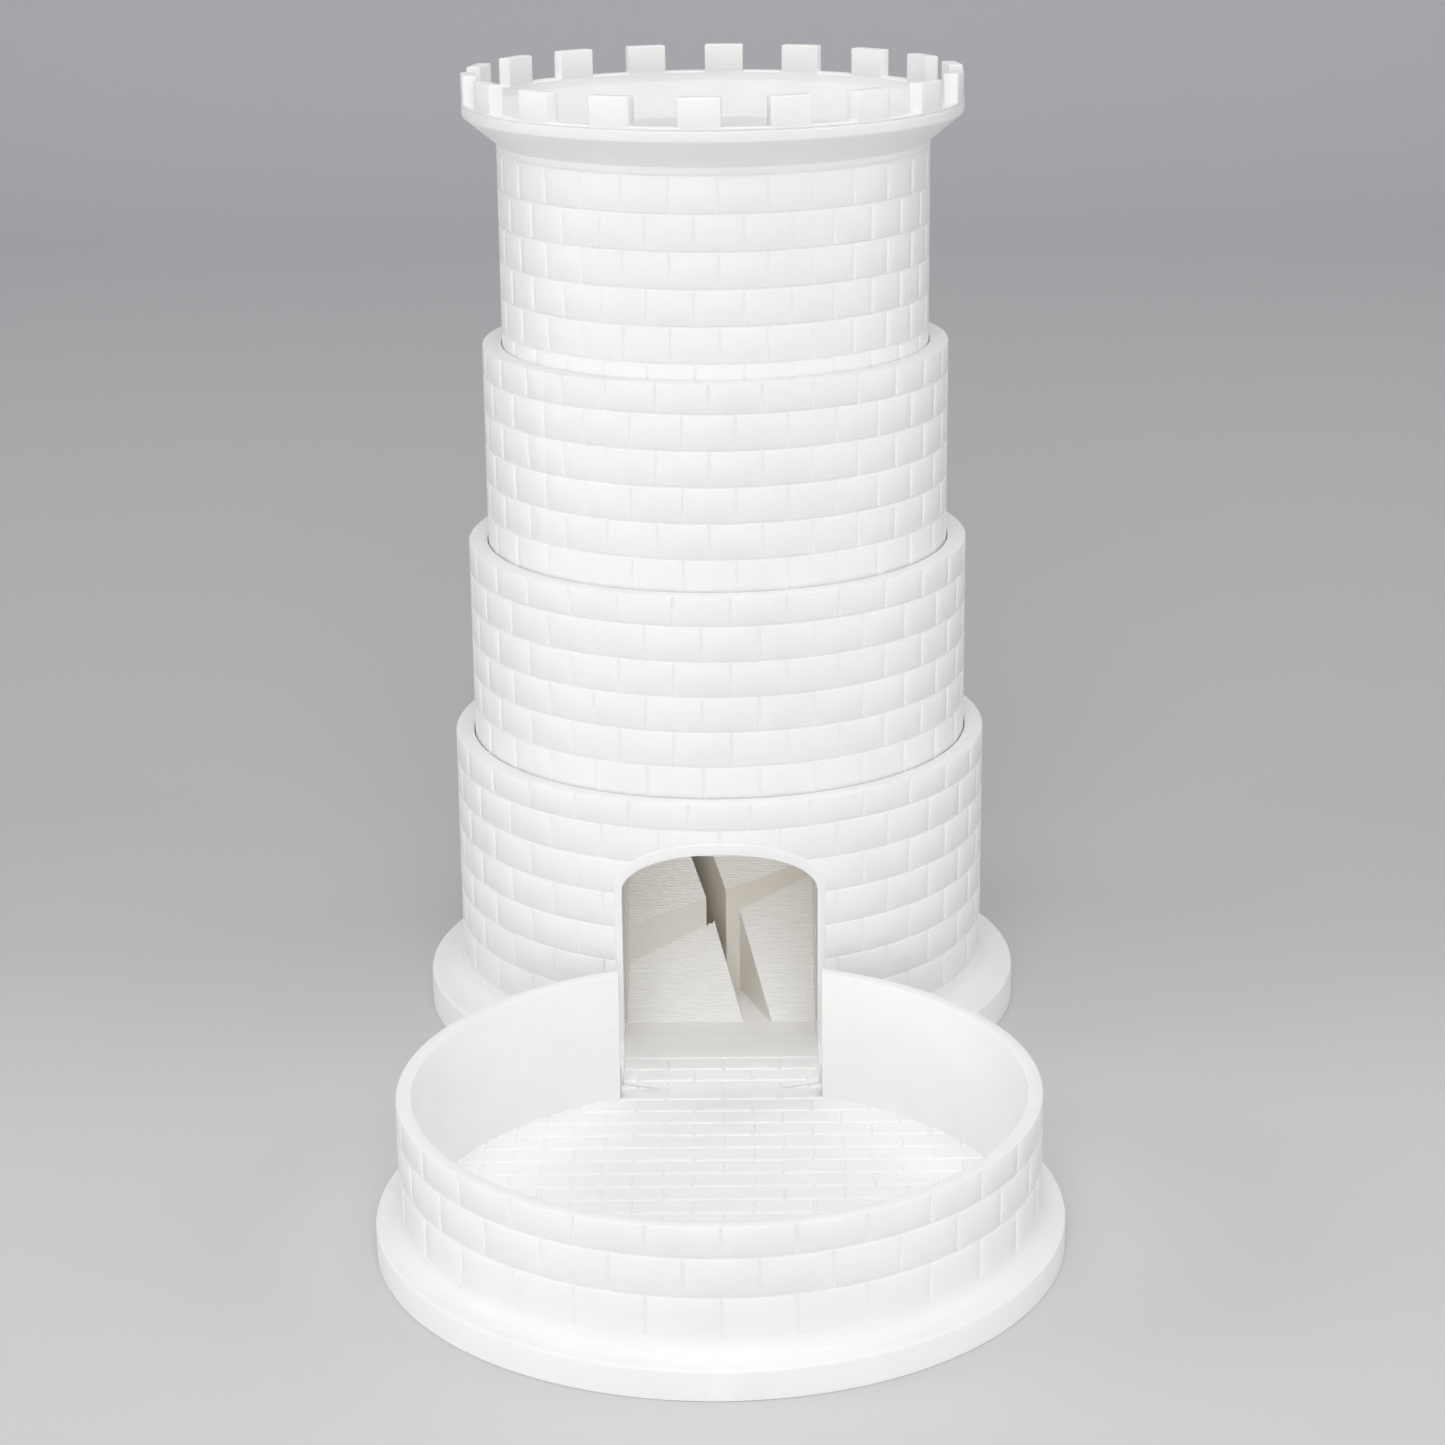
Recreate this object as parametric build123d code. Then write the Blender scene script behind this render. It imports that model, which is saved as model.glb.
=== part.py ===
from build123d import *
from math import cos, radians, sin
import os

os.makedirs("parts", exist_ok=True)

# Telescoping castle dice tower with a round dice tray, millimetres.
# Origin on the tower's axis at the ground, +Z up, the door faces -Y.

# ---- tiers ----
base_radius = 55.0            # brick face of the lowest tier
tier_step = 4.0               # radius lost from one tier to the next
base_height = 59.8            # ground to the lowest rim
wall = 2.0                    # brick face to bore
running_gap = 0.35            # radial gap wherever one tier slides in another
stop_gap = 0.42               # height left between a foot and the lip it stops under
lip_height = 3.0              # straight part of the inward lip at each rim
overlap = 11.5                # length still inside the tier below when raised
landing_gap = 0.65            # tiers to the landing ledge, collapsed with their rims level

# ---- brick courses ----
course_height = 7.08
groove_width = 0.6
groove_depth = 0.35
top_course = 5.9              # rim to the first mortar line

# ---- base ----
flange_reach = 6.9            # flange beyond the brick face
flange_height = 7.2
flange_cove = 3.4               # hollow between a wall and its flange
floor_height = 3.0
edge_break = 0.6

# ---- door ----
door_width = 38.5
door_rise = 9.0               # springing to the top of the arch
door_head = 10.3              # top of the arch to the rim
surround_side = 1.6
surround_top = 2.3
surround_raise = 0.3          # stands this far out of the brick face

# ---- ramp blocks ----
core_gap = 0.4                # radial gap from the blocks to the smallest bore
core_angle = 20.0             # the step and the slot are turned by this about Z
step_offset = -10.8           # step plane, measured along its own normal
foot_setback = 12.5           # block's outside to the lower ramps' foot, on the centre line
lower_slope = 1.0
upper_slope = 0.70
upper_ref_y = -12.7           # a point on the upper ramps' surface
upper_ref_z = 24.6
lower_slot = (-5.4, 0.15)     # sides of the slot, measured across it
upper_slot = (-7.2, -2.8)
shoulder_height = 42.0        # side blocks at the edge of the chute

# ---- crown ----
plain_band = 1.8              # last mortar line to the cone
top_rise = 38.3               # second tier's rim to the first mortar line under the crown
cone_height = 5.4
crown_overhang = 6.6          # crown beyond the brick face
crown_band = 1.8
crown_groove = 0.4
crown_cap = 0.5
parapet = 2.8
merlon_height = 5.4
merlon_count = 18
merlon_width = 8.0
merlon_phase = -2.6           # first merlon, degrees from the front towards +X
funnel_drop = 1.9             # parapet top down to the funnel's upper edge
funnel_depth = 7.0

# ---- tray ----
tray_setback = 4.5            # tower's brick face to the tray's, on the centre line
tray_radius = 57.4
tray_wall = 2.8
tray_height = 29.0
tray_flange_reach = 4.4
tray_flange_height = 5.6
tray_top_course = 5.6
tray_gap = 0.4                # tray to the tower's flange


def turned(points):
    """Solid of revolution about Z from (radius, height) points."""
    outline = Polyline(*points, close=True)
    return revolve(make_face(Plane.XZ * outline), Axis.Z, 360)


def cove(radius, height):
    """Points of the hollow where a flange of this height meets a wall of this radius, outside first."""
    points = []
    for step in range(7):
        turn = radians(15 * step)
        points.append((radius + flange_cove * (1 - sin(turn)), height + flange_cove * (1 - cos(turn))))
    return points


def brick_face(radius, top, bottom, first_line):
    """Points down a brick face, with one mortar groove per course."""
    points = []
    line = first_line
    half = groove_width / 2
    while line - half > bottom + 0.5:
        if line + half < top - 0.3:
            points.append((radius, line + half))
            points.append((radius - groove_depth, line + half / 2))
            points.append((radius - groove_depth, line - half / 2))
            points.append((radius, line - half))
        line = line - course_height
    return points


def slab(low_x, high_x, low_y, high_y, low_z, high_z):
    """Box between two corners."""
    box = Box(high_x - low_x, high_y - low_y, high_z - low_z)
    return Pos((low_x + high_x) / 2, (low_y + high_y) / 2, (low_z + high_z) / 2) * box


def across_x(points, half_width):
    """Prism with a (y, z) outline, centred on X = 0."""
    outline = Polyline(*points, close=True)
    face = make_face(Plane.YZ * outline)
    return Pos(-half_width, 0, 0) * extrude(face, 2 * half_width, dir=(1, 0, 0))


def arch_prism(half_width, spring, rise, bottom, low_y, high_y):
    """Upright prism along Y with a flat elliptical arch on top."""
    block = slab(-half_width, half_width, low_y, high_y, bottom, spring)
    oval = Pos(0, spring) * Ellipse(half_width, rise)
    length = high_y - low_y
    vault = Plane((0, high_y, 0), x_dir=(1, 0, 0), z_dir=(0, -1, 0)) * extrude(oval, length)
    upper = slab(-half_width, half_width, low_y, high_y, spring - 0.01, spring + rise + 1)
    return block + (vault & upper)


# ---- derived sizes ----
tier_rise = base_height - flange_height - landing_gap - overlap
rim = [base_height + i * tier_rise for i in range(3)]
radii = [base_radius - i * tier_step for i in range(4)]
foot_out = tier_step - wall - running_gap
foot_height = overlap - lip_height - foot_out + running_gap - stop_gap
flange_radius = base_radius + flange_reach
tray_flange_radius = tray_radius + tray_flange_reach
tray_distance = base_radius + tray_radius + tray_setback
door_spring = base_height - door_head - door_rise
half_door = door_width / 2
core_radius = radii[3] - wall - core_gap
socket_radius = core_radius + running_gap
lower_foot = foot_setback - core_radius


def lip_points(inner_tier_radius, own_radius, top):
    """Inward lip with a printable 45 degree underside, from the rim down to the bore."""
    lip = inner_tier_radius + running_gap
    bore = own_radius - wall
    return [(lip, top), (lip, top - lip_height), (bore, top - lip_height - (bore - lip))]


def foot_points(radius, bottom):
    """Outward foot ring with a 45 degree shoulder, from the wall down and in."""
    return [
        (radius, bottom + foot_height + foot_out),
        (radius + foot_out, bottom + foot_height),
        (radius + foot_out, bottom),
        (radius - wall, bottom),
    ]


# ---- tower base: wall, flange, floor, landing ledge, door ----
base_points = [(0, 0), (flange_radius - edge_break, 0), (flange_radius, edge_break)]
base_points += [(flange_radius, flange_height - edge_break)]
base_points += [(flange_radius - edge_break, flange_height)] + cove(base_radius, flange_height)
face_lines = brick_face(base_radius, rim[0], flange_height + flange_cove - 0.2, rim[0] - top_course)
base_points += list(reversed(face_lines))
base_points += [(base_radius, rim[0])]
base_points += lip_points(radii[1], base_radius, rim[0])
base_points += [(base_radius - wall, flange_height), (socket_radius, flange_height)]
base_points += [(socket_radius, floor_height), (0, floor_height)]
tower_base = turned(base_points)

frame = arch_prism(
    half_door + surround_side,
    door_spring,
    door_rise + surround_top,
    flange_height,
    -base_radius - 1,
    -base_radius / 2,
)
upright = (Align.CENTER, Align.CENTER, Align.MIN)
tube = Cylinder(base_radius + surround_raise, base_height, align=upright)
hollow = Cylinder(base_radius - wall, base_height, align=upright)
tower_base = tower_base + (frame & (tube - hollow))
opening = arch_prism(
    half_door,
    door_spring,
    door_rise,
    floor_height,
    -flange_radius - 1,
    -core_radius / 2,
)
tower_base = tower_base - opening


# ---- ramp blocks standing on the floor inside the smallest tier's bore ----
core_top = shoulder_height + core_radius - half_door
core = Cylinder(core_radius, core_top - floor_height, align=upright)
core = Pos(0, 0, floor_height) * core
reach = core_radius + 5
sides = core - slab(-half_door, half_door, -reach, reach, 0, core_top + 10)
for side in (1, -1):
    shed = [(half_door, shoulder_height), (reach, shoulder_height + reach - half_door)]
    shed += [(reach, core_top + 20), (half_door, core_top + 20)]
    shed = [(side * x, z) for x, z in shed]
    wedge = extrude(make_face(Plane.XZ * Polyline(*shed, close=True)), reach, both=True)
    sides = sides - wedge

step_z = floor_height + lower_slope * reach * 2
lower_wedge = across_x(
    [
        (lower_foot, floor_height),
        (lower_foot + reach * 2, floor_height),
        (lower_foot + reach * 2, step_z),
    ],
    half_door,
)


def upper_z(y):
    return upper_ref_z + upper_slope * (y - upper_ref_y)


upper_wedge = across_x(
    [
        (-reach / 2, floor_height),
        (reach, floor_height),
        (reach, upper_z(reach)),
        (-reach / 2, upper_z(-reach / 2)),
    ],
    half_door,
)
size = 4 * reach
front_half = Rot(0, 0, core_angle) * slab(-size, size, -size, step_offset, -1, size)
back_half = Rot(0, 0, core_angle) * slab(-size, size, step_offset, size, -1, size)
lower = lower_wedge & core & front_half
upper = upper_wedge & core & back_half
low_cut = Rot(0, 0, core_angle) * slab(lower_slot[0], lower_slot[1], -size, step_offset, -1, size)
high_cut = Rot(0, 0, core_angle) * slab(upper_slot[0], upper_slot[1], step_offset, size, -1, size)
blocks = (sides + lower + upper) - low_cut - high_cut
pieces = sorted(blocks.solids(), key=lambda s: s.center().X)
ramp_left = pieces[0]
ramp_right = pieces[-1]


# ---- sliding tiers ----
def tier(index):
    """Plain tier: brick face, inward lip at the rim, outward foot ring."""
    radius = radii[index]
    top = base_height + index * tier_rise
    bottom = top - tier_rise - overlap
    shoulder = bottom + foot_height + foot_out
    points = [(radius, top)] + brick_face(radius, top, shoulder, top - top_course)
    points += foot_points(radius, bottom)
    points += list(reversed(lip_points(radii[index + 1], radius, top)))
    return turned(points)


tier_3 = tier(1)
tier_2 = tier(2)

# ---- top tier with its crown ----
top_radius = radii[3]
top_bottom = rim[2] - overlap
top_line = rim[2] + top_rise
crown_radius = top_radius + crown_overhang
cone_low = top_line + plain_band
cone_high = cone_low + cone_height
band_top = cone_high + crown_band
cap_low = band_top + crown_groove
cap_top = cap_low + crown_cap
inner_face = crown_radius - parapet
bore = top_radius - wall
funnel_high = cap_top - funnel_drop
funnel_low = funnel_high - funnel_depth
crown_points = [(inner_face, cap_top), (crown_radius, cap_top), (crown_radius, cap_low)]
crown_points += [(crown_radius - crown_groove, band_top + crown_groove / 2), (crown_radius, band_top)]
crown_points += [(crown_radius, cone_high), (top_radius, cone_low)]
shoulder = top_bottom + foot_height + foot_out
crown_points += brick_face(top_radius, cone_low, shoulder, top_line)
crown_points += foot_points(top_radius, top_bottom)
crown_points += [(bore, funnel_low), (inner_face, funnel_high)]
tier_1 = turned(crown_points)
ring = [(inner_face, cap_top - 0.2), (crown_radius, cap_top - 0.2)]
ring += [(crown_radius, cap_top + merlon_height), (inner_face, cap_top + merlon_height)]
merlons = turned(ring)
keep = Part()
for i in range(merlon_count):
    angle = merlon_phase + i * 360 / merlon_count
    bar = slab(
        -merlon_width / 2,
        merlon_width / 2,
        -crown_radius - 1,
        -inner_face + 2,
        cap_top - 1,
        cap_top + merlon_height + 1,
    )
    keep = keep + Rot(0, 0, angle) * bar
tier_1 = tier_1 + (merlons & keep)

# ---- tray ----
tray_points = [(0, 0), (tray_flange_radius - edge_break, 0), (tray_flange_radius, edge_break)]
tray_points += [(tray_flange_radius, tray_flange_height - edge_break)]
tray_points += [(tray_flange_radius - edge_break, tray_flange_height)]
tray_points += cove(tray_radius, tray_flange_height)
tray_lines = brick_face(
    tray_radius,
    tray_height,
    tray_flange_height + flange_cove - 0.2,
    tray_height - tray_top_course,
)
tray_points += list(reversed(tray_lines))
tray_points += [(tray_radius, tray_height), (tray_radius - tray_wall, tray_height)]
tray_points += [(tray_radius - tray_wall, floor_height), (0, floor_height)]
tray = Pos(0, -tray_distance, 0) * turned(tray_points)
clearance = Cylinder(
    flange_radius + tray_gap, 3 * tray_height, align=(Align.CENTER, Align.CENTER, Align.CENTER)
)
tray = tray - clearance
gateway = slab(
    -half_door,
    half_door,
    -tray_distance,
    0,
    floor_height,
    tray_height + 5,
)
tray = tray - gateway

nodes = {
    "tower_base": tower_base,
    "ramp_left": ramp_left,
    "ramp_right": ramp_right,
    "tier_3": tier_3,
    "tier_2": tier_2,
    "tier_1_crown": tier_1,
    "dice_tray": tray,
}
for name, shape in nodes.items():
    solid = shape.solids()[0] if len(shape.solids()) == 1 else shape
    export_step(solid, f"parts/{name}.step")
    box = solid.bounding_box()
    print(name, len(shape.solids()), round(shape.volume), box.min, box.max)
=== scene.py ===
import math

import bpy
import bmesh
import numpy as np
from mathutils import Matrix, Vector


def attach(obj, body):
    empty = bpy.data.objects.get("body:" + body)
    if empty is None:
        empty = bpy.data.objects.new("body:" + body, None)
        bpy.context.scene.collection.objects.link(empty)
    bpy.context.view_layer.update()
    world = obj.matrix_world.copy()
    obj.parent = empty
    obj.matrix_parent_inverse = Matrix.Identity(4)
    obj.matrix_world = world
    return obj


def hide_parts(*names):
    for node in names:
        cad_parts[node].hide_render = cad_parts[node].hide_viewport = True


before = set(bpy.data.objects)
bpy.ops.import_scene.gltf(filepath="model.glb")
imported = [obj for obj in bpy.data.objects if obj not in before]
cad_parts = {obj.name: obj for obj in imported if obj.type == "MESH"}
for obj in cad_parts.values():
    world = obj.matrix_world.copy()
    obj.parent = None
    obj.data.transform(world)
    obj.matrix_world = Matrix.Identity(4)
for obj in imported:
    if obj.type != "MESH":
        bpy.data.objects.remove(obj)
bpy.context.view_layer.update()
MM = 0.001

# ---------------------------------------------------------------- sizes, mm
BASE_H, RISE = 59.8, 40.45
RADII = [55.0, 51.0, 47.0, 43.0]
RIMS = [BASE_H, BASE_H + RISE, BASE_H + 2 * RISE]
WALL, GAP, OVERLAP = 2.0, 0.35, 11.5
COURSE, TOP_COURSE, BRICKS = 7.08, 5.9, 29
GROOVE_W, GROOVE_D, JOINT_D, COVE = 0.6, 0.33, 0.24, 3.4
TIER_STEP, LIP_H, STOP_GAP = 4.0, 3.0, 0.42
FOOT_OUT = TIER_STEP - WALL - GAP
FOOT_H = OVERLAP - LIP_H - FOOT_OUT + GAP - STOP_GAP
FOOT_CLEAR = 8.5
TOP_R = RADII[3]
FLANGE_R, FLANGE_H, FLOOR_H = 61.9, 7.2, 3.0
HALF_DOOR, DOOR_SPRING, DOOR_RISE = 19.25, 40.5, 9.0
CORE_R, SOCKET_R = 40.6, 40.95
TRAY_Y, TRAY_R, TRAY_WALL, TRAY_H = -116.9, 57.4, 2.8, 29.0
TRAY_FLANGE_R, TRAY_FLANGE_H = 61.8, 5.6
TRAY_CUT_R = 62.3
SMOOTH_ANGLE = 32.0
NEAR_GROOVE = (-0.45, -0.3, -0.15, 0.0, 0.15, 0.3, 0.45)


# ---------------------------------------------------------------- mesh helpers
def shade(mesh, angle=SMOOTH_ANGLE):
    """Smooth shading, except across edges sharper than angle in degrees."""
    mesh.polygons.foreach_set("use_smooth", [True] * len(mesh.polygons))
    mesh.set_sharp_from_angle(angle=math.radians(angle))


def mesh_object(name, verts, faces):
    """Object from millimetre vertices, with merged corners, outward normals and smooth shading."""
    mesh = bpy.data.meshes.new(name)
    mesh.from_pydata([tuple(v) for v in (np.asarray(verts, float) * MM)], [], faces)
    mesh.validate()
    obj = bpy.data.objects.new(name, mesh)
    bpy.context.scene.collection.objects.link(obj)
    bm = bmesh.new()
    bm.from_mesh(mesh)
    bmesh.ops.remove_doubles(bm, verts=bm.verts, dist=1e-7)
    bmesh.ops.recalc_face_normals(bm, faces=bm.faces)
    bm.to_mesh(mesh)
    bm.free()
    shade(mesh)
    return obj


def cut(obj, cutter):
    """Boolean difference applied to obj's mesh. The cutter is removed."""
    mod = obj.modifiers.new("cut", "BOOLEAN")
    mod.operation = "DIFFERENCE"
    mod.solver = "EXACT"
    mod.object = cutter
    bpy.context.view_layer.update()
    graph = bpy.context.evaluated_depsgraph_get()
    result = bpy.data.meshes.new_from_object(obj.evaluated_get(graph))
    obj.modifiers.clear()
    obj.data = result
    bpy.data.objects.remove(cutter)
    shade(obj.data)


def box_cutter(lo, hi):
    x0, y0, z0 = lo
    x1, y1, z1 = hi
    verts = [(x, y, z) for x in (x0, x1) for y in (y0, y1) for z in (z0, z1)]
    faces = [(0, 1, 3, 2), (4, 6, 7, 5), (0, 4, 5, 1), (2, 3, 7, 6), (0, 2, 6, 4), (1, 5, 7, 3)]
    return mesh_object("cutter", verts, faces)


def prism_cutter(outline, place, low, high):
    """Prism between low and high. place(u, v, level) turns an outline point into (x, y, z)."""
    n = len(outline)
    verts = [place(u, v, level) for level in (low, high) for u, v in outline]
    faces = [tuple(range(n)), tuple(range(2 * n - 1, n - 1, -1))]
    faces += [(i, n + i, n + (i + 1) % n, (i + 1) % n) for i in range(n)]
    return mesh_object("cutter", verts, faces)


def columns(radius, phase):
    """Angles round a brick wall, close together beside every upright joint of both kinds of row."""
    pitch = 2 * math.pi / BRICKS
    near = np.array(NEAR_GROOVE) / radius
    out = []
    for k in range(2 * BRICKS):
        joint = math.radians(phase) + k * pitch / 2
        out.extend(joint + near)
        out.append(joint + pitch / 4)
    return np.array(sorted(out))


def groove(distance, width=GROOVE_W, depth=GROOVE_D):
    """Depth of a rounded mortar groove at this distance from its middle."""
    t = np.clip((np.abs(distance) - 0.22 * width) / (0.42 * width), 0, 1)
    return depth * (1 - t * t * (3 - 2 * t))


def brick_relief(theta, z, radius, lines, phase, parity, plain_top=False):
    """How far the brick face is set back at (theta, z): course lines and running-bond joints."""
    lines = np.asarray(lines)
    depth = groove(np.min(np.abs(z - lines)))
    row = int(np.sum(z < lines)) + parity
    pitch = 2 * math.pi / BRICKS
    shift = math.radians(phase) + (pitch / 2 if row % 2 else 0.0)
    off = (theta - shift + pitch / 2) % pitch - pitch / 2
    if plain_top and z > lines[0]:
        return np.full(len(theta), depth)
    return np.maximum(depth, groove(off * radius, depth=JOINT_D))


def face_levels(top, bottom, lines):
    """Heights down a brick face, close together at every course line."""
    out = [top, bottom]
    for line in lines:
        out += [line + d for d in NEAR_GROOVE]
        out.append(line - COURSE / 2)
    out.append(lines[0] + 3.0)
    out = [z for z in out if bottom <= z <= top]
    return sorted(set(round(z, 4) for z in out), reverse=True)


def revolve_grid(name, angles, profile, center=(0.0, 0.0), relief=None):
    """Closed surface: a closed (radius, height, is_brick) profile carried round the given angles."""
    n, m = len(angles), len(profile)
    verts = np.zeros((n * m, 3))
    for j, (r, z, brick) in enumerate(profile):
        rr = np.full(n, float(r))
        if brick and relief is not None:
            rr = rr - relief(angles, z)
        verts[j::m, 0] = center[0] + rr * np.sin(angles)
        verts[j::m, 1] = center[1] - rr * np.cos(angles)
        verts[j::m, 2] = z
    faces = []
    for i in range(n):
        a, b = i * m, ((i + 1) % n) * m
        for j in range(m):
            k = (j + 1) % m
            faces.append((a + j, b + j, b + k, a + k))
    return mesh_object(name, verts, faces)


# ---------------------------------------------------------------- brick tiers
def course_lines(first, bottom):
    """Heights of the course lines from the first one down to bottom."""
    out = []
    z = first
    while z > bottom:
        out.append(z)
        z -= COURSE
    return out


def foot_ring(radius, bottom):
    """Profile of the ring at a tier's foot that catches under the lip round it."""
    out = radius + FOOT_OUT
    return [(out, bottom + FOOT_H, False), (out, bottom + 0.3, False), (out - 0.3, bottom, False)]


def tier_profile(radius, inner_tier, top, bottom, lines, foot=True):
    """Profile of a tube with a lip inside its rim, down its brick face and up its bore."""
    lip, bore = inner_tier + 0.22, radius - WALL
    shoulder = bottom + FOOT_H + FOOT_OUT if foot else bottom
    prof = [(lip + 0.32, top, False), (radius - 0.4, top, False), (radius - 0.12, top - 0.1, False)]
    prof += [(radius, z, True) for z in face_levels(top - 0.4, shoulder, lines)]
    if foot:
        prof += foot_ring(radius, bottom)
    prof += [(bore, bottom, False), (bore, top - LIP_H - (bore - lip), False)]
    prof += [(lip, top - LIP_H, False), (lip, top - 0.32, False), (lip + 0.08, top - 0.09, False)]
    return prof


def brick_tier(name, index, phase, parity):
    radius, top = RADII[index], RIMS[index]
    bottom = top - RISE - OVERLAP
    lines = course_lines(top - TOP_COURSE, bottom + FOOT_CLEAR)
    prof = tier_profile(radius, RADII[index + 1], top, bottom, lines)
    return revolve_grid(
        name,
        columns(radius, phase),
        prof,
        relief=lambda th, z: brick_relief(th, z, radius, lines, phase, parity),
    )


tier_3 = brick_tier("tier_3_wall", 1, 2.9, 0)
tier_2 = brick_tier("tier_2_wall", 2, -1.4, 0)

# top tier with its crown
TOP_LINE = RIMS[2] + 38.3
CONE_LO, CONE_H, CROWN_OUT, CROWN_IN = TOP_LINE + 1.8, 5.4, 49.6, 46.8
CROWN_BAND, CROWN_GROOVE, CROWN_CAP = 1.8, 0.4, 0.5
MERLONS, MERLON_W, MERLON_H, MERLON_PHASE = 18, 8.0, 5.4, -2.6
CAP_TOP = CONE_LO + CONE_H + CROWN_BAND + CROWN_GROOVE + CROWN_CAP
T1_PHASE = 1.4
t1_bottom = RIMS[2] - OVERLAP
t1_lines = course_lines(TOP_LINE, t1_bottom + FOOT_CLEAR)
t1_prof = [(CROWN_IN + 0.3, CAP_TOP, False), (CROWN_OUT - 0.2, CAP_TOP, False)]
t1_prof += [(CROWN_OUT, CAP_TOP - 0.15, False), (CROWN_OUT, CAP_TOP - 0.42, False)]
t1_prof += [(CROWN_OUT - 0.38, CAP_TOP - 0.68, False), (CROWN_OUT, CAP_TOP - 0.95, False)]
t1_prof += [(CROWN_OUT, CONE_LO + CONE_H + 0.25, False), (CROWN_OUT - 0.12, CONE_LO + CONE_H - 0.05, False)]
for t in (0.96, 0.75, 0.5, 0.25, 0.06):
    t1_prof.append((TOP_R + (CROWN_OUT - TOP_R) * t, CONE_LO + CONE_H * t, False))
t1_prof += [(TOP_R, z, True) for z in face_levels(CONE_LO - 0.1, t1_bottom + FOOT_H + FOOT_OUT, t1_lines)]
t1_prof += foot_ring(TOP_R, t1_bottom) + [(TOP_R - WALL, t1_bottom, False)]
# funnel inside the crown
t1_prof += [(TOP_R - WALL, 179.8, False), (TOP_R - WALL + 0.15, 180.2, False)]
t1_prof += [(CROWN_IN - 0.2, 186.75, False), (CROWN_IN, 187.1, False), (CROWN_IN, CAP_TOP - 0.3, False)]
tier_1 = revolve_grid(
    "tier_1_wall",
    columns(TOP_R, T1_PHASE),
    t1_prof,
    relief=lambda th, z: brick_relief(th, z, TOP_R, t1_lines, T1_PHASE, 1, plain_top=True),
)


def merlon_ring(name, low, high):
    """Merlons: short curved blocks with eased edges, all in one mesh."""
    bm = bmesh.new()
    for i in range(MERLONS):
        mid = math.radians(MERLON_PHASE + i * 360 / MERLONS)
        part = bmesh.new()
        rows = []
        for r in (CROWN_IN, CROWN_OUT):
            half = math.asin(MERLON_W / 2 / r)
            for z in (low, high):
                row = []
                for t in np.linspace(-1, 1, 7):
                    a = mid + half * t
                    row.append(part.verts.new((r * math.sin(a) * MM, -r * math.cos(a) * MM, z * MM)))
                rows.append(row)
        il, ih, ol, oh = rows
        for k in range(6):
            part.faces.new((il[k], ih[k], ih[k + 1], il[k + 1]))
            part.faces.new((ol[k], ol[k + 1], oh[k + 1], oh[k]))
            part.faces.new((ih[k], oh[k], oh[k + 1], ih[k + 1]))
            part.faces.new((il[k], il[k + 1], ol[k + 1], ol[k]))
        part.faces.new((il[0], ol[0], oh[0], ih[0]))
        part.faces.new((il[6], ih[6], oh[6], ol[6]))
        bmesh.ops.recalc_face_normals(part, faces=part.faces)
        sharp = [e for e in part.edges if len(e.link_faces) == 2 and e.calc_face_angle() > 0.6]
        bmesh.ops.bevel(part, geom=sharp, offset=0.28 * MM, segments=2, affect="EDGES", profile=0.5)
        temp = bpy.data.meshes.new("temp")
        part.to_mesh(temp)
        part.free()
        bm.from_mesh(temp)
        bpy.data.meshes.remove(temp)
    mesh = bpy.data.meshes.new(name)
    bm.to_mesh(mesh)
    bm.free()
    obj = bpy.data.objects.new(name, mesh)
    bpy.context.scene.collection.objects.link(obj)
    shade(mesh, angle=50)
    return obj


merlons = merlon_ring("crown_merlons", CAP_TOP - CROWN_CAP, CAP_TOP + MERLON_H)

# ---------------------------------------------------------------- tower base
BASE_PHASE, BASE_PARITY = 0.1, 1
base_lines = course_lines(BASE_H - TOP_COURSE + 0.4, FLANGE_H + 1.5)
tower_wall = revolve_grid(
    "tower_base_wall",
    columns(RADII[0], BASE_PHASE),
    tier_profile(RADII[0], RADII[1], BASE_H, FLANGE_H - 0.05, base_lines, foot=False),
    relief=lambda th, z: brick_relief(th, z, RADII[0], base_lines, BASE_PHASE, BASE_PARITY),
)


def door_outline(grow, steps=40):
    """(x, z) points and outward normals up the left jamb, over the arch and down the right one."""
    pts = [((-HALF_DOOR, FLANGE_H), (-1.0, 0.0))]
    for k in range(1, 9):
        pts.append(((-HALF_DOOR, FLANGE_H + (DOOR_SPRING - FLANGE_H) * k / 9), (-1.0, 0.0)))
    for k in range(steps + 1):
        a = math.pi - math.pi * k / steps
        n = np.array([math.cos(a) * DOOR_RISE, math.sin(a) * HALF_DOOR])
        n = n / np.linalg.norm(n)
        pts.append(((HALF_DOOR * math.cos(a), DOOR_SPRING + DOOR_RISE * math.sin(a)), tuple(n)))
    for k in range(8, 0, -1):
        pts.append(((HALF_DOOR, FLANGE_H + (DOOR_SPRING - FLANGE_H) * k / 9), (1.0, 0.0)))
    pts.append(((HALF_DOOR, FLANGE_H), (1.0, 0.0)))
    return [(p[0] + n[0] * grow, p[1] + n[1] * grow, n) for p, n in pts]


hole = [(x, z) for x, z, _ in door_outline(0.7)]
hole = [(hole[0][0], 0.0)] + hole + [(hole[-1][0], 0.0)]
cut(tower_wall, prism_cutter(hole, lambda x, z, y: (x, y, z), -75, -40))


SURROUND_SIDE, SURROUND_TOP = 1.6, 2.3


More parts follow.
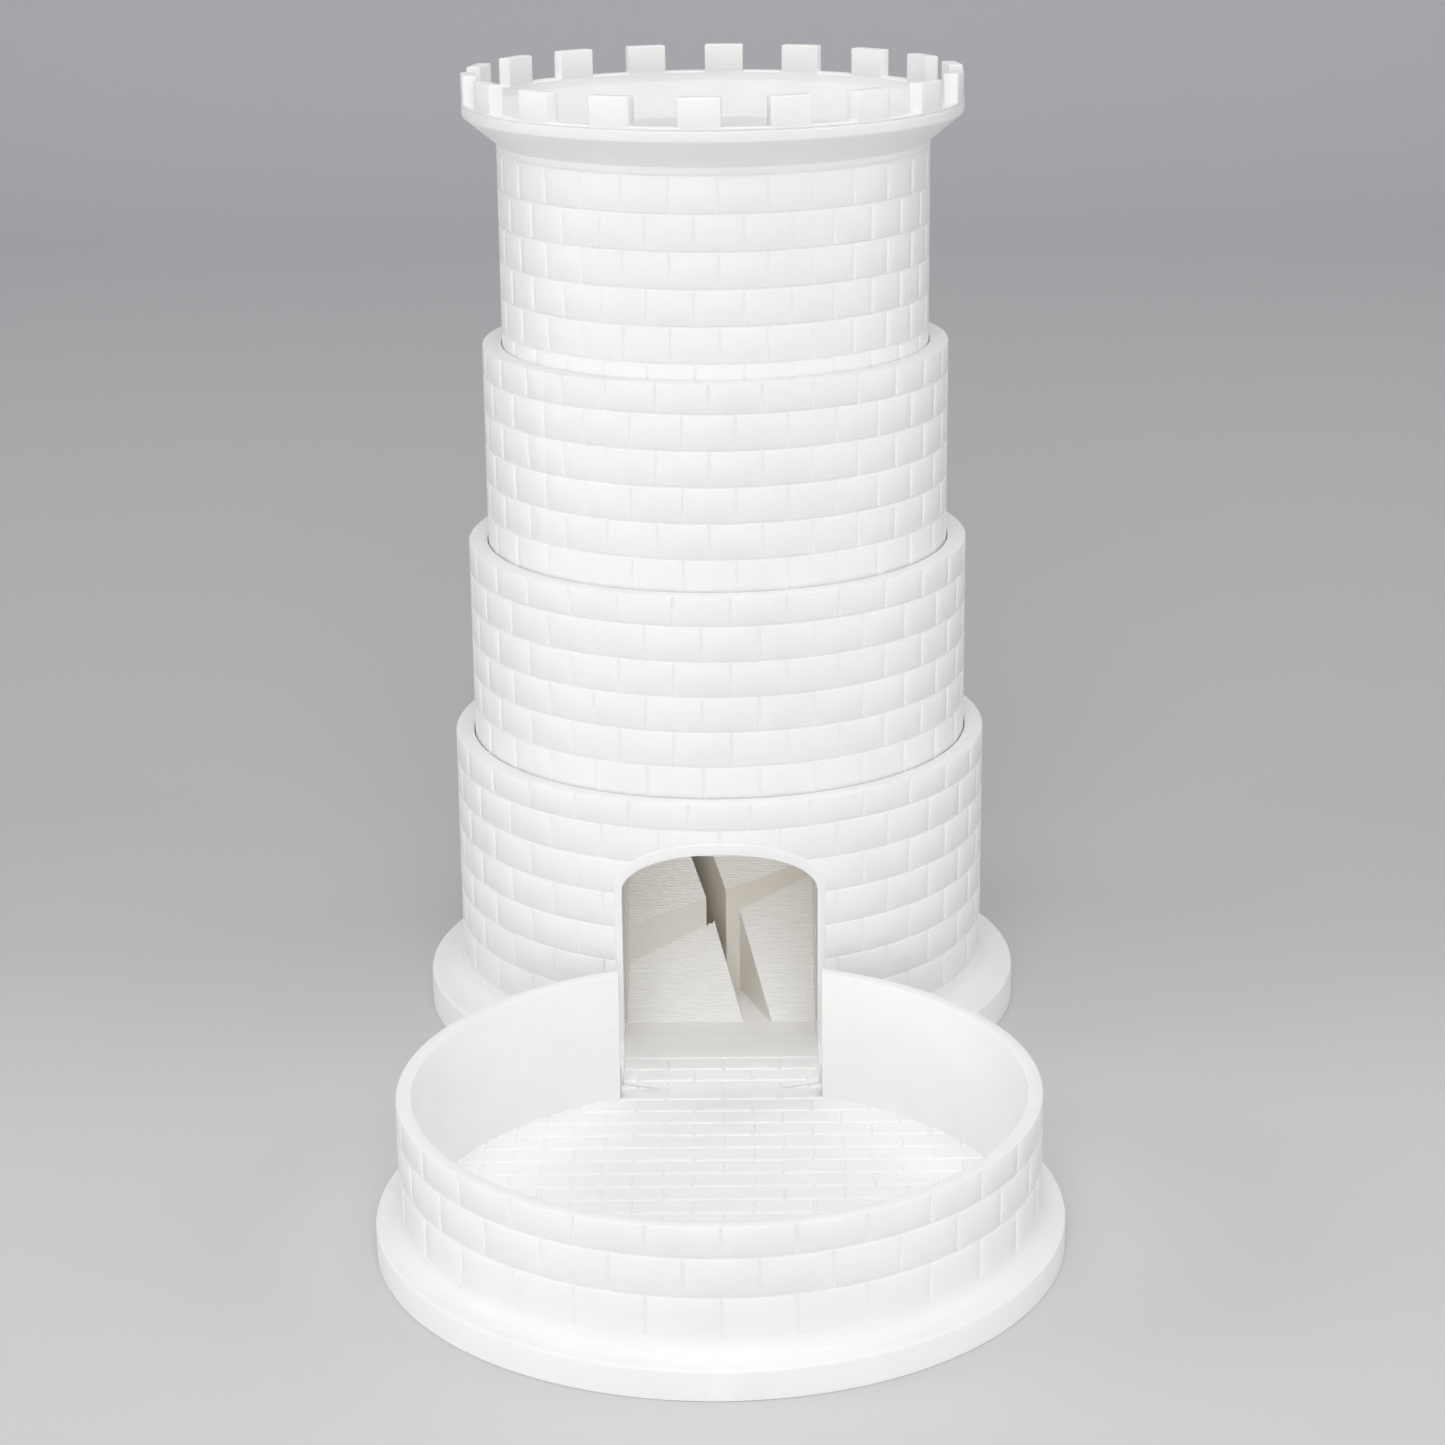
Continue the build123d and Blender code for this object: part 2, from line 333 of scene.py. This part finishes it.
def surround(name):
    """Plain band round the doorway, standing 0.2 mm out of the brick face; it makes the jambs too."""
    path = door_outline(0.0)
    n = len(path)
    verts, faces = [], []
    for x, z, nrm in path:
        top = max(0.0, nrm[1])
        s = SURROUND_SIDE + (SURROUND_TOP - SURROUND_SIDE) * top ** 2
        section = [(0.0, -2.0), (0.0, 0.0), (0.12, 0.15), (0.3, 0.2), (s - 0.35, 0.2)]
        section += [(s - 0.12, 0.15), (s, 0.0), (s, -0.8), (s, -2.0)]
        m = len(section)
        for off, rise in section:
            r = RADII[0] + rise
            px, pz = x + nrm[0] * off, z + nrm[1] * off
            verts.append((px, -math.sqrt(r * r - px * px), pz))
    for i in range(n - 1):
        for j in range(m):
            k = (j + 1) % m
            faces.append((i * m + j, i * m + k, (i + 1) * m + k, (i + 1) * m + j))
    faces.append(tuple(range(m)))
    faces.append(tuple((n - 1) * m + j for j in range(m - 1, -1, -1)))
    return mesh_object(name, verts, faces)


door_band = surround("door_surround")

ring_angles = np.radians(np.arange(0, 360, 1.25))


def cove(radius, height):
    """Hollow curve from a flange's flat top up to the wall that stands on it."""
    turns = np.radians(np.linspace(0, 90, 9))
    return [(radius + COVE * (1 - math.sin(t)), height + COVE * (1 - math.cos(t))) for t in turns]


HUB_R, UNDER_FLOOR = 0.4, 2.98
flange_prof = [(HUB_R, 0.02), (FLANGE_R - 0.2, 0.0), (FLANGE_R, 0.2), (FLANGE_R, FLANGE_H - 0.9)]
flange_prof += [(FLANGE_R - 0.14, FLANGE_H - 0.35), (FLANGE_R - 0.6, FLANGE_H - 0.05), (FLANGE_R - 1.0, FLANGE_H)]
flange_prof += cove(RADII[0], FLANGE_H) + [(RADII[0] - 1.0, FLANGE_H + COVE), (RADII[0] - 1.0, FLANGE_H)]
flange_prof += [(RADII[0] - WALL, FLANGE_H), (SOCKET_R + 0.2, FLANGE_H), (SOCKET_R, FLANGE_H - 0.2)]
flange_prof += [(SOCKET_R, UNDER_FLOOR), (HUB_R, UNDER_FLOOR)]
base_flange = revolve_grid("tower_base_flange", ring_angles, [(r, z, False) for r, z in flange_prof])
cut(base_flange, box_cutter((-HALF_DOOR, -75, 2.3), (HALF_DOOR, -36, 12)))


# ---------------------------------------------------------------- brick floors
FLOOR_PITCH, FLOOR_BRICK, FLOOR_PHASE = 5.53, 11.25, 0.4
FLOOR_GROOVE_W, FLOOR_GROOVE_D, PLATE_LOW = 0.7, 0.3, 0.6
NEAR_FLOOR_GROOVE = (-0.5, -0.32, -0.16, 0.0, 0.16, 0.32, 0.5)


def floor_relief(x, y, rows):
    """How far the floor is set back at (x, y), from the Y of its mortar lines. The last part is plain."""
    if y >= max(rows) + 0.8:
        return 0.0
    depth = float(groove(np.min(np.abs(y - rows)), FLOOR_GROOVE_W, FLOOR_GROOVE_D))
    if y >= max(rows):
        return depth
    shift = FLOOR_PHASE + (FLOOR_BRICK / 2 if np.sum(y > rows) % 2 else 0.0)
    off = (x - shift + FLOOR_BRICK / 2) % FLOOR_BRICK - FLOOR_BRICK / 2
    return max(depth, float(groove(off, FLOOR_GROOVE_W, FLOOR_GROOVE_D)))


def brick_plate(name, x0, x1, y0, y1, rows, clamp, keep=lambda x, y: True, edges=()):
    """Closed floor plate with a running-bond pattern. clamp moves points to its edge, keep picks its faces."""
    xs = [x0, x1, *edges]
    k0, k1 = int(x0 / FLOOR_BRICK) * 2 - 4, int(x1 / FLOOR_BRICK) * 2 + 4
    for k in range(k0, k1 + 1):
        joint = FLOOR_PHASE + k * FLOOR_BRICK / 2
        xs += [joint + d for d in NEAR_FLOOR_GROOVE] + [joint + FLOOR_BRICK / 4]
    xs = sorted(set(round(v, 4) for v in xs if x0 <= v <= x1))
    ys = [y0, y1]
    for line in rows:
        ys += [line + d for d in NEAR_FLOOR_GROOVE] + [line + FLOOR_PITCH / 2]
    y = max(rows) + FLOOR_PITCH
    while y < y1:
        ys.append(y)
        y += 3.0
    ys = sorted(set(round(v, 4) for v in ys if y0 <= v <= y1))
    verts, index = [], {}
    rows_a = np.array(rows)
    for i, x in enumerate(xs):
        for j, yy in enumerate(ys):
            cx, cy = clamp(x, yy)
            index[i, j] = len(verts)
            verts.append((cx, cy, FLOOR_H - floor_relief(x, cy, rows_a)))
    faces = []
    for i in range(len(xs) - 1):
        for j in range(len(ys) - 1):
            quad = [index[i, j], index[i + 1, j], index[i + 1, j + 1], index[i, j + 1]]
            c = np.mean([verts[q] for q in quad], axis=0)
            if keep(c[0], c[1]):
                faces.append(tuple(quad))
    obj = mesh_object(name, verts, faces)
    bm = bmesh.new()
    bm.from_mesh(obj.data)
    bmesh.ops.remove_doubles(bm, verts=bm.verts, dist=2e-6)
    bmesh.ops.dissolve_degenerate(bm, edges=bm.edges, dist=1e-6)
    loose = [v for v in bm.verts if not v.link_faces]
    bmesh.ops.delete(bm, geom=loose, context="VERTS")
    rim_edges = [e for e in bm.edges if e.is_boundary]
    out = bmesh.ops.extrude_edge_only(bm, edges=rim_edges)
    for v in out["geom"]:
        if isinstance(v, bmesh.types.BMVert):
            v.co.z = PLATE_LOW * MM
    bmesh.ops.holes_fill(bm, edges=[e for e in bm.edges if e.is_boundary], sides=0)
    bmesh.ops.recalc_face_normals(bm, faces=bm.faces)
    bm.to_mesh(obj.data)
    bm.free()
    shade(obj.data)
    return obj


passage_rows = [-46.4, -51.95, -57.5]
passage_floor = brick_plate(
    "tower_floor",
    -HALF_DOOR,
    HALF_DOOR,
    -62.5,
    -35.6,
    passage_rows,
    clamp=lambda x, y: (x, max(y, -math.sqrt(FLANGE_R**2 - x * x))),
)
tray_rows = [-66.4 - FLOOR_PITCH * k for k in range(-2, 20)]
GATE = HALF_DOOR + 0.45
tray_floor = brick_plate(
    "tray_floor",
    -56.5,
    56.5,
    TRAY_Y - 56.5,
    -58.0,
    tray_rows,
    clamp=lambda x, y: (x, min(y, -math.sqrt(max(0.0, TRAY_CUT_R**2 - x * x))) if abs(x) < 30 else y),
    keep=lambda x, y: math.hypot(x, y - TRAY_Y) < 56.0 or (abs(x) < GATE and y > TRAY_Y),
    edges=(-GATE, GATE),
)

# ---------------------------------------------------------------- tray
TRAY_PHASE = 0.4
tray_lines = [TRAY_H - 5.6 - COURSE * k for k in range(2)]
in_r = TRAY_R - TRAY_WALL
tray_prof = [(in_r + 0.4, TRAY_H, False), (TRAY_R - 0.45, TRAY_H, False), (TRAY_R - 0.13, TRAY_H - 0.12, False)]
tray_prof += [(TRAY_R, z, True) for z in face_levels(TRAY_H - 0.45, TRAY_FLANGE_H - 0.1, tray_lines)]
tray_prof += [(TRAY_R, 1.0, False), (in_r, 1.0, False), (in_r, 3.0, False), (in_r, 16.0, False)]
tray_prof += [(in_r, TRAY_H - 0.4, False), (in_r + 0.11, TRAY_H - 0.11, False)]
tray_wall = revolve_grid(
    "tray_wall",
    columns(TRAY_R, TRAY_PHASE),
    tray_prof,
    center=(0, TRAY_Y),
    relief=lambda th, z: brick_relief(th, z, TRAY_R, tray_lines, TRAY_PHASE, 0),
)
cut(tray_wall, box_cutter((-GATE, TRAY_Y, FLOOR_H - 0.3), (GATE, -40, 40)))
ring_prof = [(54.0, 0.0), (TRAY_FLANGE_R - 0.2, 0.0), (TRAY_FLANGE_R, 0.2), (TRAY_FLANGE_R, 4.75)]
ring_prof += [(TRAY_FLANGE_R - 0.14, 5.28), (TRAY_FLANGE_R - 0.6, 5.55)] + cove(TRAY_R, TRAY_FLANGE_H)
ring_prof += [(56.2, TRAY_FLANGE_H + COVE), (56.2, TRAY_FLANGE_H), (54.0, 1.0)]
tray_flange = revolve_grid("tray_flange", ring_angles, [(r, z, False) for r, z in ring_prof], center=(0, TRAY_Y))
around = [(TRAY_CUT_R * math.cos(a), TRAY_CUT_R * math.sin(a)) for a in np.radians(np.arange(0, 360, 1.0))]
cut(tray_flange, prism_cutter(around, lambda x, y, z: (x, y, z), -5.0, 40.0))
cut(tray_flange, box_cutter((-GATE, TRAY_Y, FLOOR_H - 0.4), (GATE, -40, 40)))


# ---------------------------------------------------------------- ramps
LAYER = 0.4
TURN = math.radians(20.0)
CU, CV = np.array([math.cos(TURN), math.sin(TURN)]), np.array([-math.sin(TURN), math.cos(TURN)])
STEP, LOW_SLOT, HIGH_SLOT = -10.8, (-5.4, 0.15), (-7.2, -2.8)
SHOULDER = 42.0


def clip(poly, normal, limit):
    """Part of a convex plan polygon where normal . p <= limit."""
    out = []
    for i in range(len(poly)):
        a, b = np.array(poly[i]), np.array(poly[(i + 1) % len(poly)])
        da, db = normal @ a - limit, normal @ b - limit
        if da <= 1e-9:
            out.append(tuple(a))
        if (da < -1e-9 and db > 1e-9) or (da > 1e-9 and db < -1e-9):
            out.append(tuple(a + (b - a) * da / (da - db)))
    return out


def stair_block(region, direction, height, start, slope):
    """Faces of a block whose top climbs along direction in printed layers. height is its top at start."""
    direction = np.array(direction, float)
    reach = [float(direction @ np.array(p)) for p in region]
    tread = LAYER / slope
    verts, faces = [], []
    k = math.floor((min(reach) - start) / tread)
    first = True
    while start + k * tread < max(reach):
        a, b = start + k * tread, start + (k + 1) * tread
        z1 = height + (k + 0.5) * LAYER
        z0 = z1 - LAYER
        k += 1
        strip = clip(clip(region, -direction, -a), direction, b)
        if len(strip) < 3 or z1 <= FLOOR_H + 0.01:
            continue
        z0 = FLOOR_H if first else max(z0, FLOOR_H)
        first = False
        base = len(verts)
        m = len(strip)
        verts += [(x, y, z1) for x, y in strip]
        faces.append(tuple(range(base, base + m)))
        for i in range(m):
            p, q = np.array(strip[i]), np.array(strip[(i + 1) % m])
            dp, dq = direction @ p, direction @ q
            if abs(dp - b) < 1e-6 and abs(dq - b) < 1e-6 and b < max(reach) - 1e-6:
                continue
            bottom = z0 if abs(dp - a) < 1e-6 and abs(dq - a) < 1e-6 else FLOOR_H
            s = len(verts)
            verts += [(p[0], p[1], bottom), (q[0], q[1], bottom), (q[0], q[1], z1), (p[0], p[1], z1)]
            faces.append((s, s + 1, s + 2, s + 3))
    return verts, faces


def blocks(name, parts):
    """One object from several stair blocks."""
    verts, faces = [], []
    for region, direction, height, start, slope in parts:
        v, f = stair_block(region, direction, height, start, slope)
        base = len(verts)
        verts += v
        faces += [tuple(base + i for i in face) for face in f]
    mesh = bpy.data.meshes.new(name)
    mesh.from_pydata([tuple(v) for v in (np.asarray(verts, float) * MM)], [], faces)
    obj = bpy.data.objects.new(name, mesh)
    bpy.context.scene.collection.objects.link(obj)
    return obj


turns = np.linspace(0, 2 * math.pi, 180, endpoint=False)
disc = [(CORE_R * math.cos(a), CORE_R * math.sin(a)) for a in turns]
X = np.array([1.0, 0.0])
chute = clip(clip(disc, X, HALF_DOOR), -X, HALF_DOOR)
front = clip(chute, CV, STEP)
back = clip(chute, -CV, -STEP)
LOWER = ((0, 1), FLOOR_H, -28.1, 1.0)
UPPER = ((0, 1), 24.6, -12.7, 0.70)
left_side = clip(clip(disc, X, -HALF_DOOR), CU, HIGH_SLOT[0])
right_side = clip(disc, -X, -HALF_DOOR)
ramp_left = blocks(
    "ramp_left_block",
    [
        (clip(front, CU, LOW_SLOT[0]), *LOWER),
        (clip(back, CU, HIGH_SLOT[0]), *UPPER),
        (left_side, (-1, 0), SHOULDER, HALF_DOOR, 1.0),
    ],
)
ramp_right = blocks(
    "ramp_right_block",
    [
        (clip(front, -CU, -LOW_SLOT[1]), *LOWER),
        (clip(back, -CU, -HIGH_SLOT[1]), *UPPER),
        (right_side, (1, 0), SHOULDER, HALF_DOOR, 1.0),
    ],
)


# ---------------------------------------------------------------- materials
def add_node(tree, kind, settings=None, **attributes):
    """New node of a kind, with its attributes and the values of its named or numbered inputs."""
    node = tree.nodes.new("ShaderNode" + kind)
    for key, value in attributes.items():
        setattr(node, key, value)
    for socket, value in (settings or {}).items():
        node.inputs[socket].default_value = value
    return node


def plastic(name, color, height_shade=None, bump=0.35, rough=0.5):
    """Matte printed plastic: layer lines across Z, fine mottling, paler sharp edges as a painted highlight, and,
    when given, painted shade that darkens it towards a shade colour higher up.
    """
    mat = bpy.data.materials.new(name)
    mat.use_nodes = True
    tree = mat.node_tree
    link = tree.links.new
    bsdf = tree.nodes["Principled BSDF"]
    coords = add_node(tree, "TexCoord")
    split = add_node(tree, "SeparateXYZ")
    link(coords.outputs["Object"], split.inputs[0])
    # layer lines: a wave in Z with each layer's strength varied by a stretched noise
    phase = add_node(tree, "Math", {1: 2 * math.pi / (LAYER * MM)}, operation="MULTIPLY")
    link(split.outputs["Z"], phase.inputs[0])
    wave = add_node(tree, "Math", operation="SINE")
    link(phase.outputs[0], wave.inputs[0])
    stretch = add_node(tree, "Mapping", {"Scale": (14, 14, 1400)})
    link(coords.outputs["Object"], stretch.inputs[0])
    streak = add_node(tree, "TexNoise", {"Scale": 1.0, "Detail": 2.0})
    link(stretch.outputs[0], streak.inputs["Vector"])
    uneven = add_node(tree, "Math", {1: 0.6}, operation="MULTIPLY_ADD")
    link(wave.outputs[0], uneven.inputs[0])
    lift = add_node(tree, "Math", {1: 2.2}, operation="MULTIPLY")
    link(streak.outputs["Fac"], lift.inputs[0])
    link(lift.outputs[0], uneven.inputs[2])
    # mottling
    mottle = add_node(tree, "TexNoise", {"Scale": 90.0, "Detail": 4.0})
    link(coords.outputs["Object"], mottle.inputs["Vector"])
    ramp = add_node(tree, "ValToRGB")
    for stop, place, shade_of in zip(ramp.color_ramp.elements, (0.3, 0.75), (0.965, 1.0)):
        stop.position = place
        stop.color = (*[c * shade_of for c in color], 1)
    link(mottle.outputs["Fac"], ramp.inputs[0])
    base = ramp.outputs[0]
    # painted shade: between two heights the colour goes over to a darker shade colour, standing in for the shade
    # deeper inside the tower
    if height_shade is not None:
        low_z, high_z, shade_colour = height_shade
        span = add_node(tree, "MapRange", {"From Min": low_z * MM, "From Max": high_z * MM})
        link(split.outputs["Z"], span.inputs[0])
        mix = add_node(tree, "Mix", {7: (*shade_colour, 1)}, data_type="RGBA")
        link(span.outputs[0], mix.inputs["Factor"])
        link(base, mix.inputs[6])
        base = mix.outputs[2]
    # painted highlight: paler where the surface turns sharply, as if the edges caught the light
    geo = add_node(tree, "NewGeometry")
    edge = add_node(tree, "MapRange", {"From Min": 0.52, "From Max": 0.62, "To Max": 0.5})
    link(geo.outputs["Pointiness"], edge.inputs[0])
    edge_highlight = add_node(tree, "Mix", {7: (*[min(0.97, c * 1.04) for c in color], 1)}, data_type="RGBA")
    link(edge.outputs[0], edge_highlight.inputs["Factor"])
    link(base, edge_highlight.inputs[6])
    link(edge_highlight.outputs[2], bsdf.inputs["Base Color"])
    rough_map = add_node(tree, "MapRange", {"To Min": rough - 0.07, "To Max": rough + 0.09})
    link(streak.outputs["Fac"], rough_map.inputs[0])
    link(rough_map.outputs[0], bsdf.inputs["Roughness"])
    relief = add_node(tree, "Bump", {"Strength": bump, "Distance": 0.05 * MM})
    link(uneven.outputs[0], relief.inputs["Height"])
    link(relief.outputs[0], bsdf.inputs["Normal"])
    bsdf.inputs["Specular IOR Level"].default_value = 0.4
    return mat


WHITE = (0.90, 0.897, 0.894)
shell = plastic("printed_white", WHITE, bump=0.25)
# paler copy of the white for the floors: painted light that brightens them
flat = plastic("printed_white_flat", (0.93, 0.928, 0.925), bump=0.2)
# ramp white with painted shade that darkens it higher up, deeper in the tower
ramp_mat = plastic("printed_ramp", (0.91, 0.905, 0.895), height_shade=(10, 45, (0.88, 0.85, 0.81)), bump=0.3)
# darker, warmer copy of the ramp white for the upright step faces: painted shade, darkening further with height
ramp_side_shade = plastic("printed_ramp_side", (0.84, 0.815, 0.77), height_shade=(10, 50, (0.74, 0.69, 0.60)), bump=0.2)

for obj, body, node, mat in [
    (tower_wall, "base", "tower_base", shell),
    (door_band, "base", "tower_base", shell),
    (base_flange, "base", "tower_base", shell),
    (passage_floor, "base", "tower_base", flat),
    (ramp_left, "base", "ramp_left", ramp_mat),
    (ramp_right, "base", "ramp_right", ramp_mat),
    (tier_3, "tier_3", "tier_3", shell),
    (tier_2, "tier_2", "tier_2", shell),
    (tier_1, "tier_1", "tier_1_crown", shell),
    (merlons, "tier_1", "tier_1_crown", shell),
    (tray_wall, "tray", "dice_tray", shell),
    (tray_flange, "tray", "dice_tray", shell),
    (tray_floor, "tray", "dice_tray", flat),
]:
    obj.data.materials.clear()
    obj.data.materials.append(mat)
    # upright ramp faces take the darker side material, painted shade
    if mat is ramp_mat:
        obj.data.materials.append(ramp_side_shade)
        for face in obj.data.polygons:
            heights = [obj.data.vertices[v].co.z for v in face.vertices]
            face.material_index = int(max(heights) - min(heights) > 0.6 * MM)
    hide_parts(node)
    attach(obj, body)

# ---------------------------------------------------------------- floor, light, camera
sweep = [(y, 0.0) for y in (-4.0, -2.0, -1.0, -0.5, -0.2, 0.0, 0.2, 0.5, 0.8)]
sweep += [(1.0 + 0.7 * math.sin(a), 0.7 - 0.7 * math.cos(a)) for a in np.radians(np.arange(0, 91, 3))]
sweep += [(1.7, 1.2), (1.7, 2.2)]
floor_mesh = bpy.data.meshes.new("studio_floor")
floor_mesh.from_pydata(
    [(x, y, z) for y, z in sweep for x in (-4.0, 4.0)],
    [],
    [(2 * i, 2 * i + 1, 2 * i + 3, 2 * i + 2) for i in range(len(sweep) - 1)],
)
floor_mesh.polygons.foreach_set("use_smooth", [True] * len(floor_mesh.polygons))
studio_floor = bpy.data.objects.new("studio_floor", floor_mesh)
bpy.context.scene.collection.objects.link(studio_floor)
floor_mat = bpy.data.materials.new("studio_floor")
floor_mat.use_nodes = True
floor_tree = floor_mat.node_tree
floor_shader = floor_tree.nodes["Principled BSDF"]
floor_coords = add_node(floor_tree, "TexCoord")
floor_split = add_node(floor_tree, "SeparateXYZ")
floor_tree.links.new(floor_coords.outputs["Object"], floor_split.inputs[0])
NEAR_Y, FAR_Y = -0.25, 1.75
floor_span = add_node(floor_tree, "MapRange", {"From Min": NEAR_Y, "From Max": FAR_Y})
floor_tree.links.new(floor_split.outputs["Y"], floor_span.inputs[0])
floor_ramp = add_node(floor_tree, "ValToRGB")
floor_tree.links.new(floor_span.outputs[0], floor_ramp.inputs[0])
# depth in metres, grey, and how much bluer than grey. The grey is painted light and shade: lighter at the front,
# darkest just behind the tower as painted shadow, and lighter again far back
shades = [(NEAR_Y, 0.65, 0), (-0.105, 0.62, 0), (0.0, 0.575, 0), (0.12, 0.51, 0.01), (0.37, 0.545, 0.02)]
shades += [(0.98, 0.67, 0.035), (1.3, 0.68, 0.06)]
for _ in range(len(shades) - 2):
    floor_ramp.color_ramp.elements.new(0.5)
for stop, (y, grey, blue) in zip(floor_ramp.color_ramp.elements, shades):
    stop.position = (y - NEAR_Y) / (FAR_Y - NEAR_Y)
    stop.color = (grey, grey, grey * (1 + blue), 1)
floor_tree.links.new(floor_ramp.outputs[0], floor_shader.inputs["Base Color"])
floor_shader.inputs["Roughness"].default_value = 0.8
floor_shader.inputs["Specular IOR Level"].default_value = 0.2
floor_mesh.materials.append(floor_mat)


def area_light(name, place, size, power, target=(0, -0.05, 0.08)):
    """Square area light in metres and watts, turned towards its target."""
    data = bpy.data.lights.new(name, "AREA")
    data.size = size
    data.energy = power
    obj = bpy.data.objects.new(name, data)
    bpy.context.scene.collection.objects.link(obj)
    obj.location = place
    obj.rotation_euler = (Vector(target) - Vector(place)).to_track_quat("-Z", "Y").to_euler()
    return obj


area_light("front", (-0.02, -1.25, 1.15), 1.0, 9.0)
area_light("front_low", (-0.03, -1.6, 0.25), 0.8, 7.8)
area_light("top", (0, 0, 1.4), 1.2, 7.7)
area_light("left", (-1.4, -0.25, 0.5), 0.8, 7.4)
area_light("right", (1.4, -0.2, 0.65), 1.1, 7.0)
# light that passes through the thin white walls into the doorway and the shaft
doorway_glow = area_light("doorway_glow", (0, -0.0505, 0.0475), 0.02, 0.0007, target=(0, -0.048, 0.0))
shaft_glow = area_light("shaft_glow", (0, 0, 0.115), 0.05, 0.0032, target=(0, 0.0001, 0.0))
shaft_glow.visible_camera = doorway_glow.visible_camera = False
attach(doorway_glow, "base")
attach(shaft_glow, "tier_3")
bpy.context.scene.cycles.diffuse_bounces = 10

world = bpy.data.worlds.new("studio")
world.use_nodes = True
world.node_tree.nodes["Background"].inputs[0].default_value = (1.0, 1.0, 1.0, 1)
world.node_tree.nodes["Background"].inputs[1].default_value = 0.12
bpy.context.scene.world = world
bpy.context.scene.view_settings.view_transform = "Standard"

YAW, PITCH, ROLL = math.radians(-0.28), math.radians(17.57), math.radians(-0.59)
ahead = np.array([math.sin(YAW), math.cos(YAW), 0.0])
right = np.array([math.cos(YAW), -math.sin(YAW), 0.0])
up = np.array([0.0, 0.0, 1.0])
look = ahead * math.cos(PITCH) - up * math.sin(PITCH)
level_up = ahead * math.sin(PITCH) + up * math.cos(PITCH)
view_right = right * math.cos(ROLL) + level_up * math.sin(ROLL)
view_up = level_up * math.cos(ROLL) - right * math.sin(ROLL)
camera_data = bpy.data.cameras.new("camera")
camera_data.sensor_width = 36.0
camera_data.lens = 79.97
camera_data.clip_start, camera_data.clip_end = 0.05, 20.0
camera = bpy.data.objects.new("camera", camera_data)
bpy.context.scene.collection.objects.link(camera)
camera_at = (0.00379, -0.6419, 0.26235)
rows = [(view_right[i], view_up[i], -look[i], camera_at[i]) for i in range(3)]
camera.matrix_world = Matrix([*rows, (0.0, 0.0, 0.0, 1.0)])
bpy.context.scene.camera = camera
